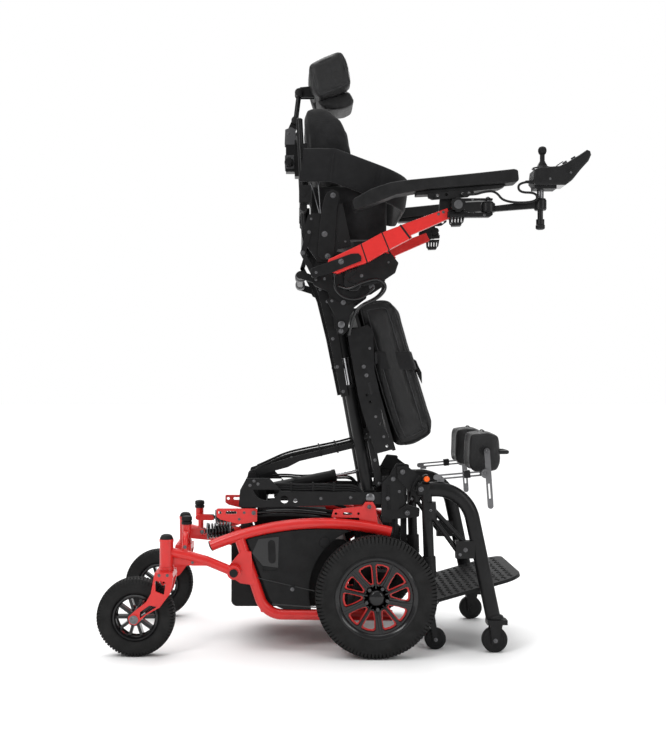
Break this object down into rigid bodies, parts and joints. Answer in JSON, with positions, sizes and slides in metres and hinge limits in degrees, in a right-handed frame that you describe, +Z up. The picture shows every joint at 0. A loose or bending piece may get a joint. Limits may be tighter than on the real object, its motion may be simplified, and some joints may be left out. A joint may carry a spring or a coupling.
{
  "type": "standing power wheelchair",
  "caption": "Standing power wheelchair in its raised pose: red base, drive wheels in front, casters behind, seat, back, headrest, joystick and leg supports.",
  "frame": {"origin": "on the floor, at the middle of the length and width", "axes": "+X forward, +Y to the user's left, +Z up"},
  "size_m": [1.44, 0.66, 1.8267],
  "materials": {
    "red_paint": "gloss powder coat",
    "black_paint": "satin powder coat",
    "black_plastic": "fine textured",
    "gloss_black": "gloss",
    "steel": "zinc plated",
    "chrome": "polished",
    "tyre": "moulded rubber",
    "rubber": "moulded",
    "leather": "grained black leatherette",
    "fabric": "black spacer fabric",
    "orange": "gloss"
  },
  "bodies": {
    "base": {"side_frames": "red_paint", "base_plates": "black_paint", "battery_box": "black_plastic", "motors": "black_paint", "shrouds": "black_plastic", "tie_down_brackets": "red_paint", "shocks": "steel"},
    "lift_actuator": {"lift_actuator": "black_paint"},
    "lift_rod": {"lift_rod": "chrome"},
    "guide_strut": {"guide_strut": "black_paint"},
    "lift_arm": {"masts": "black_paint"},
    "seat": {"slide_rods": "chrome", "carriage": "black_paint", "seat_frame": "black_paint", "seat_cushion": "leather", "thigh_belt": "fabric"},
    "hip": {"hip_brackets": "black_paint", "side_guards": "black_plastic"},
    "back": {"back_frame": "black_paint", "back_cushions": "fabric", "chest_band": "fabric"},
    "joystick_arm": {"joystick_arm": "black_paint", "joystick_cable": "rubber"},
    "joystick_pod": {"joystick_pod": "black_plastic"},
    "joystick_gimbal": {"joystick_gimbal": "black_plastic"},
    "joystick_stick": {"joystick_stick": "rubber"},
    "pod_button": {"pod_button": "gloss_black"},
    "pod_toggle": {"pod_toggle": "gloss_black"},
    "headrest_post": {"headrest_post": "black_paint"},
    "headrest_arm": {"headrest_arm": "black_paint"},
    "headrest": {"headrest_pad": "leather"},
    "knee_carrier": {"knee_brackets": "black_paint"},
    "legrest": {"leg_frame": "black_paint", "knee_bars": "steel"},
    "leg_release": {"leg_release": "orange"},
    "footplate": {"footplate": "black_plastic"},
    "swing_arm_right": {"swing_arm_right": "red_paint"},
    "caster_fork_right": {"caster_fork_right": "red_paint"},
    "caster_wheel_right": {"caster_rim_right": "gloss_black", "caster_tyre_right": "tyre"},
    "drive_wheel_right": {"drive_rim_right": "gloss_black", "drive_tyre_right": "tyre"},
    "armrest_right": {"armrest_right": "red_paint", "arm_pad_right": "rubber"},
    "arm_knob_right": {"arm_knob_right": "black_plastic"},
    "support_wheel_right": {"support_wheel_right": "rubber"},
    "roller_right": {"roller_right": "rubber"},
    "knee_pad_right": {"knee_pad_right": "leather"},
    "swing_arm_left": {"swing_arm_left": "red_paint"},
    "caster_fork_left": {"caster_fork_left": "red_paint"},
    "caster_wheel_left": {"caster_rim_left": "gloss_black", "caster_tyre_left": "tyre"},
    "drive_wheel_left": {"drive_rim_left": "gloss_black", "drive_tyre_left": "tyre"},
    "armrest_left": {"armrest_left": "red_paint", "arm_pad_left": "rubber"},
    "arm_knob_left": {"arm_knob_left": "black_plastic"},
    "support_wheel_left": {"support_wheel_left": "rubber"},
    "roller_left": {"roller_left": "rubber"},
    "knee_pad_left": {"knee_pad_left": "leather"}
  },
  "joints": [
    {"name": "drive_wheel_right_spin", "type": "hinge", "parent": "base", "child": "drive_wheel_right", "pos_m": [0.099, -0.292, 0.178], "axis": [0, 1, 0], "continuous": true},
    {"name": "suspension_right", "type": "hinge", "parent": "base", "child": "swing_arm_right", "pos_m": [-0.318, -0.251, 0.242], "axis": [0, 1, 0], "range_deg": [-5, 5], "deforming": ["shocks"]},
    {"name": "caster_swivel_right", "type": "hinge", "parent": "swing_arm_right", "child": "caster_fork_right", "pos_m": [-0.516, -0.265, 0.3], "axis": [0, 0, 1], "continuous": true},
    {"name": "caster_spin_right", "type": "hinge", "parent": "caster_fork_right", "child": "caster_wheel_right", "pos_m": [-0.605, -0.265, 0.115], "axis": [0, 1, 0], "continuous": true},
    {"name": "drive_wheel_left_spin", "type": "hinge", "parent": "base", "child": "drive_wheel_left", "pos_m": [0.099, 0.292, 0.178], "axis": [0, 1, 0], "continuous": true},
    {"name": "suspension_left", "type": "hinge", "parent": "base", "child": "swing_arm_left", "pos_m": [-0.318, 0.251, 0.242], "axis": [0, 1, 0], "range_deg": [-5, 5]},
    {"name": "caster_swivel_left", "type": "hinge", "parent": "swing_arm_left", "child": "caster_fork_left", "pos_m": [-0.516, 0.265, 0.3], "axis": [0, 0, 1], "continuous": true},
    {"name": "caster_spin_left", "type": "hinge", "parent": "caster_fork_left", "child": "caster_wheel_left", "pos_m": [-0.605, 0.265, 0.115], "axis": [0, 1, 0], "continuous": true},
    {"name": "stand_lift", "type": "hinge", "parent": "base", "child": "lift_arm", "pos_m": [0.089, 0, 0.455], "axis": [0, 1, 0], "range_deg": [-75, 0]},
    {"name": "seat_travel", "type": "slide", "parent": "lift_arm", "child": "seat", "axis": [-0.1788, 0, 0.9839], "range_m": [-0.08, 0]},
    {"name": "back_level", "type": "hinge", "parent": "seat", "child": "hip", "pos_m": [0, 0, 0.975], "axis": [0, 1, 0], "range_deg": [0, 75]},
    {"name": "back_recline", "type": "hinge", "parent": "hip", "child": "back", "pos_m": [-0.041, 0, 1.179], "axis": [0, 1, 0], "range_deg": [-25, 0]},
    {"name": "actuator_swing", "type": "hinge", "parent": "base", "child": "lift_actuator", "pos_m": [-0.244, 0, 0.459], "axis": [0, 1, 0], "range_deg": [0, 11]},
    {"name": "actuator_stroke", "type": "slide", "parent": "lift_actuator", "child": "lift_rod", "axis": [0.9808, 0, 0.1949], "range_m": [-0.065, 0]},
    {"name": "strut_swing", "type": "hinge", "parent": "base", "child": "guide_strut", "pos_m": [-0.273, 0, 0.513], "axis": [0, 1, 0], "range_deg": [0, 16.5]},
    {"name": "knee_carrier_rise", "type": "slide", "parent": "base", "child": "knee_carrier", "axis": [0, 0, 1], "range_m": [0, 0.04]},
    {"name": "armrest_flip_right", "type": "hinge", "parent": "hip", "child": "armrest_right", "pos_m": [-0.003, -0.269, 1.158], "axis": [0, 1, 0], "range_deg": [-90, 0]},
    {"name": "arm_knob_turn_right", "type": "hinge", "parent": "armrest_right", "child": "arm_knob_right", "pos_m": [0.337, -0.29, 1.32], "axis": [0, 1, 0], "continuous": true},
    {"name": "armrest_flip_left", "type": "hinge", "parent": "hip", "child": "armrest_left", "pos_m": [-0.003, 0.269, 1.158], "axis": [0, 1, 0], "range_deg": [-90, 0]},
    {"name": "arm_knob_turn_left", "type": "hinge", "parent": "armrest_left", "child": "arm_knob_left", "pos_m": [0.337, 0.29, 1.32], "axis": [0, 1, 0], "continuous": true},
    {"name": "joystick_swing", "type": "hinge", "parent": "armrest_right", "child": "joystick_arm", "pos_m": [0.427, -0.285, 1.315], "axis": [0, 0, 1], "range_deg": [-90, 0], "deforming": ["joystick_cable"]},
    {"name": "pod_swivel", "type": "hinge", "parent": "joystick_arm", "child": "joystick_pod", "pos_m": [0.58, -0.285, 1.34], "axis": [0, 0, 1], "range_deg": [-45, 45]},
    {"name": "stick_fore_aft", "type": "hinge", "parent": "joystick_pod", "child": "joystick_gimbal", "pos_m": [0.586, -0.285, 1.416], "axis": [0, 1, 0], "range_deg": [-18, 18], "stiffness_Nm_per_rad": 0.3},
    {"name": "stick_side", "type": "hinge", "parent": "joystick_gimbal", "child": "joystick_stick", "pos_m": [0.586, -0.285, 1.416], "axis": [1, 0, 0], "range_deg": [-18, 18], "stiffness_Nm_per_rad": 0.3},
    {"name": "pod_button_press", "type": "slide", "parent": "joystick_pod", "child": "pod_button", "axis": [0.5026, 0, -0.8645], "range_m": [0, 0.002], "stiffness_N_per_m": 600},
    {"name": "pod_toggle_press", "type": "slide", "parent": "joystick_pod", "child": "pod_toggle", "axis": [0.5026, 0, -0.8645], "range_m": [0, 0.002], "stiffness_N_per_m": 600},
    {"name": "headrest_height", "type": "slide", "parent": "back", "child": "headrest_post", "axis": [0, 0, 1], "range_m": [0, 0.06]},
    {"name": "headrest_reach", "type": "hinge", "parent": "headrest_post", "child": "headrest_arm", "pos_m": [-0.137, 0, 1.633], "axis": [0, 1, 0], "range_deg": [-25, 0]},
    {"name": "headrest_tilt", "type": "hinge", "parent": "headrest_arm", "child": "headrest", "pos_m": [-0.126, 0, 1.722], "axis": [0, 1, 0], "range_deg": [-25, 0]},
    {"name": "leg_swing", "type": "hinge", "parent": "knee_carrier", "child": "legrest", "pos_m": [0.184, 0, 0.535], "axis": [0, 1, 0], "range_deg": [-30, 0]},
    {"name": "foot_flip", "type": "hinge", "parent": "legrest", "child": "footplate", "pos_m": [0.286, 0, 0.144], "axis": [0, 1, 0], "range_deg": [-70, 0]},
    {"name": "leg_release_press", "type": "slide", "parent": "legrest", "child": "leg_release", "axis": [0, 1, 0], "range_m": [0, 0.003], "stiffness_N_per_m": 800},
    {"name": "support_wheel_spin_right", "type": "hinge", "parent": "legrest", "child": "support_wheel_right", "pos_m": [0.456, -0.228, 0.038], "axis": [0, 1, 0], "continuous": true},
    {"name": "roller_spin_right", "type": "hinge", "parent": "legrest", "child": "roller_right", "pos_m": [0.284, -0.19, 0.032], "axis": [0, 1, 0], "continuous": true},
    {"name": "knee_pad_tilt_right", "type": "hinge", "parent": "legrest", "child": "knee_pad_right", "pos_m": [0.432, -0.215, 0.599], "axis": [0, 1, 0], "range_deg": [-15, 15]},
    {"name": "support_wheel_spin_left", "type": "hinge", "parent": "legrest", "child": "support_wheel_left", "pos_m": [0.456, 0.228, 0.038], "axis": [0, 1, 0], "continuous": true},
    {"name": "roller_spin_left", "type": "hinge", "parent": "legrest", "child": "roller_left", "pos_m": [0.284, 0.19, 0.032], "axis": [0, 1, 0], "continuous": true},
    {"name": "knee_pad_tilt_left", "type": "hinge", "parent": "legrest", "child": "knee_pad_left", "pos_m": [0.432, 0.215, 0.599], "axis": [0, 1, 0], "range_deg": [-15, 15]}
  ],
  "couplings": [
    {"joint": "seat_travel", "follows": "stand_lift", "m_per_rad": 0.0611},
    {"joint": "back_level", "follows": "stand_lift", "ratio": -1},
    {"joint": "actuator_swing", "follows": "stand_lift", "ratio": -0.141},
    {"joint": "actuator_stroke", "follows": "stand_lift", "m_per_rad": 0.0487},
    {"joint": "strut_swing", "follows": "stand_lift", "ratio": -0.2133},
    {"joint": "knee_carrier_rise", "follows": "stand_lift", "m_per_rad": -0.0305}
  ]
}
